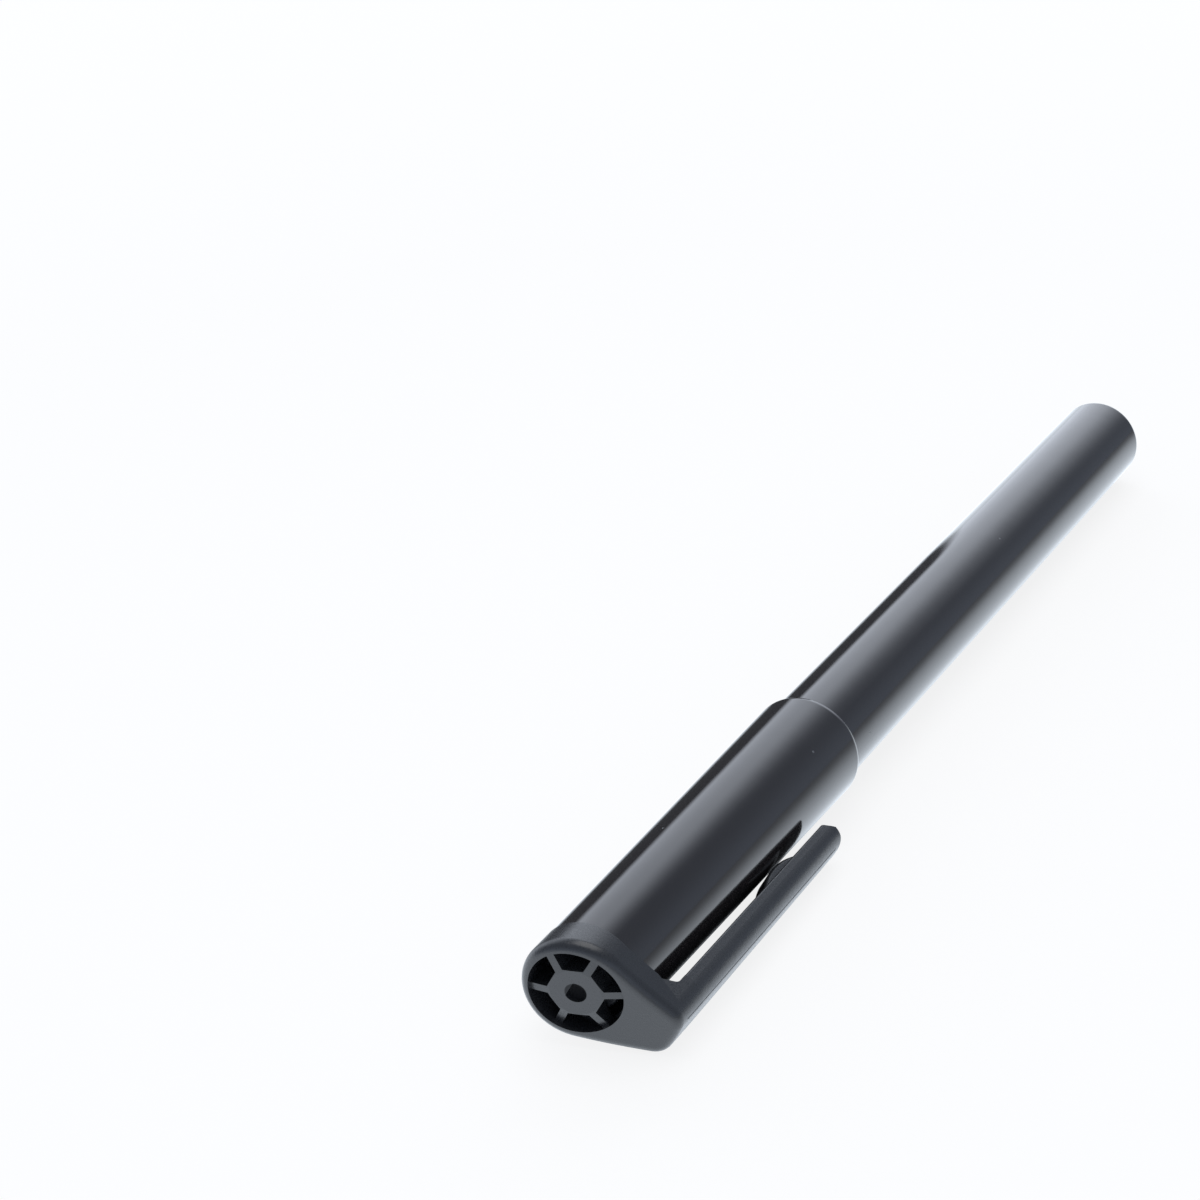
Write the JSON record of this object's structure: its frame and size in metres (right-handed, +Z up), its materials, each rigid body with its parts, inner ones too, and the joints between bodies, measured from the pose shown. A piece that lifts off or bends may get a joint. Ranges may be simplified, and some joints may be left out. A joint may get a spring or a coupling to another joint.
{
  "type": "invisible ink pen",
  "caption": "Slim capped fibre-tip marker for invisible ink: tapered round barrel, pull-off cap with a vented end and a springy side clip, and nib, ink core and seal cup inside.",
  "frame": {"origin": "on the tabletop, under the middle of the box round the capped pen as it lies", "axes": "+X along the pen toward the cap's end, which stands 0.6 degrees higher because the cap is wider; +Y toward the side that the clip is on; +Z up from the table"},
  "size_m": [0.1409, 0.015, 0.0119],
  "materials": {
    "gloss_black": "polished black moulding",
    "matt_black": "fine matt black moulding",
    "ink_fibre": "bonded fibre soaked in clear ink",
    "nib_fibre": "hard bonded fibre",
    "clear_film": "thin wrapped film"
  },
  "bodies": {
    "pen_body": {"barrel": "gloss_black", "end_plug": "gloss_black", "ink_reservoir": "ink_fibre", "reservoir_film": "clear_film", "nib": "nib_fibre", "front_section": "matt_black"},
    "inner_cap": {"inner_cap": "matt_black"},
    "cap": {"cap_tube": "gloss_black", "clip_collar": "matt_black"},
    "clip": {"clip_arm": "matt_black"}
  },
  "joints": [
    {"name": "cap_pull", "type": "slide", "parent": "pen_body", "child": "inner_cap", "axis": [0.9999, 0, 0.0102], "range_m": [0, 0.05]},
    {"name": "cap_turn", "type": "hinge", "parent": "inner_cap", "child": "cap", "pos_m": [-0.07041, -0.00164, 0.00499], "axis": [0.9999, 0, 0.0102], "continuous": true},
    {"name": "clip_flex", "type": "hinge", "parent": "cap", "child": "clip", "pos_m": [0.06179, 0.00688, 0.00199], "axis": [0.0091, -0.4551, -0.8904], "range_deg": [0, 6], "stiffness_Nm_per_rad": 1.7}
  ]
}
